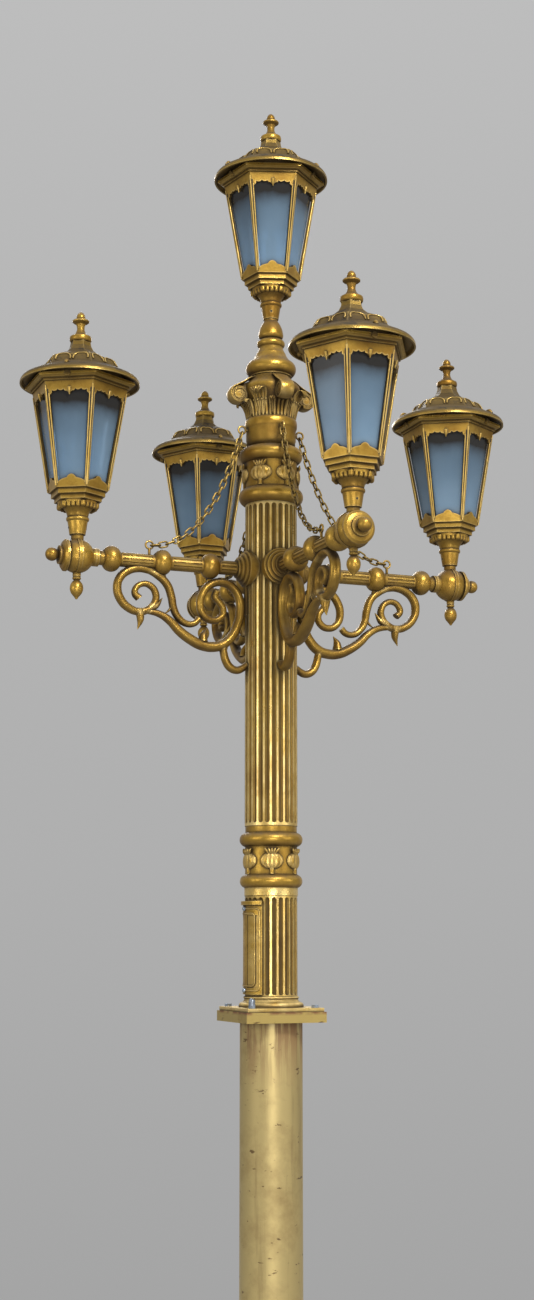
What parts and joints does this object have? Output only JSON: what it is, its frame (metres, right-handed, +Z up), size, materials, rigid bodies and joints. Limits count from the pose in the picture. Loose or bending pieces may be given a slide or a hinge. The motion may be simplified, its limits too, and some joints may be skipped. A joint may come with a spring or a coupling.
{
  "type": "street light",
  "caption": "Ornate gold-painted cast street light: fluted column on a round post, with six-sided lanterns on chained scroll arms and on top.",
  "frame": {"origin": "centre of the foot flange at ground level", "axes": "+Z up the column; +X and -X along the right and left arms, -Y along the front arm; the door faces -X"},
  "size_m": [1.304, 1.304, 3.501],
  "materials": {
    "gold_paint": "weathered metallic gold paint",
    "roof_paint": "dull dusty gold paint",
    "post_paint": "scratched and rust-stained gold paint",
    "chain_paint": "dull gold paint",
    "bolt_steel": "zinc plated",
    "pane_glass": "frosted, blue-grey",
    "lamp_glass": "opal white",
    "holder_ceramic": "tan",
    "terminal_plastic": "black"
  },
  "bodies": {
    "standard": {"foot_flange": "post_paint", "lower_post": "post_paint", "top_plate": "post_paint", "column_base": "gold_paint", "base_bolts": "bolt_steel", "terminal_block": "terminal_plastic", "lower_collar": "gold_paint", "main_shaft": "gold_paint", "upper_collar": "gold_paint", "capital": "gold_paint", "neck_spire": "gold_paint", "hub_caps": "gold_paint", "drop_finials": "gold_paint", "chain_eyes": "gold_paint", "arm_left": "gold_paint", "hub_left": "gold_paint", "bracket_left": "gold_paint", "chain_left": "chain_paint", "arm_right": "gold_paint", "hub_right": "gold_paint", "bracket_right": "gold_paint", "chain_right": "chain_paint", "arm_front": "gold_paint", "hub_front": "gold_paint", "bracket_front": "gold_paint", "chain_front": "chain_paint", "arm_rear": "gold_paint", "hub_rear": "gold_paint", "bracket_rear": "gold_paint", "chain_rear": "chain_paint", "cup_left": "gold_paint", "frame_left": "gold_paint", "panes_left": "pane_glass", "cup_right": "gold_paint", "frame_right": "gold_paint", "panes_right": "pane_glass", "cup_front": "gold_paint", "frame_front": "gold_paint", "panes_front": "pane_glass", "cup_rear": "gold_paint", "frame_rear": "gold_paint", "panes_rear": "pane_glass", "cup_top": "gold_paint", "frame_top": "gold_paint", "panes_top": "pane_glass", "lamp_holders": "holder_ceramic", "lamps": "lamp_glass", "thumb_screws": "gold_paint"},
    "door": {"access_door": "gold_paint", "door_screws": "bolt_steel"},
    "roof_of_left": {"roof_left": "roof_paint", "finial_left": "roof_paint"},
    "roof_of_right": {"roof_right": "roof_paint", "finial_right": "roof_paint"},
    "roof_of_front": {"roof_front": "roof_paint", "finial_front": "roof_paint"},
    "roof_of_rear": {"roof_rear": "roof_paint", "finial_rear": "roof_paint"},
    "roof_of_top": {"roof_top": "roof_paint", "finial_top": "roof_paint"}
  },
  "joints": [
    {"name": "door_lift_off", "type": "slide", "parent": "standard", "child": "door", "axis": [-1, 0, 0], "range_m": [0, 0.15]},
    {"name": "roof_lift_left", "type": "slide", "parent": "standard", "child": "roof_of_left", "axis": [0, 0, 1], "range_m": [0, 0.2]},
    {"name": "roof_lift_right", "type": "slide", "parent": "standard", "child": "roof_of_right", "axis": [0, 0, 1], "range_m": [0, 0.2]},
    {"name": "roof_lift_front", "type": "slide", "parent": "standard", "child": "roof_of_front", "axis": [0, 0, 1], "range_m": [0, 0.2]},
    {"name": "roof_lift_rear", "type": "slide", "parent": "standard", "child": "roof_of_rear", "axis": [0, 0, 1], "range_m": [0, 0.2]},
    {"name": "roof_lift_top", "type": "slide", "parent": "standard", "child": "roof_of_top", "axis": [0, 0, 1], "range_m": [0, 0.2]}
  ]
}
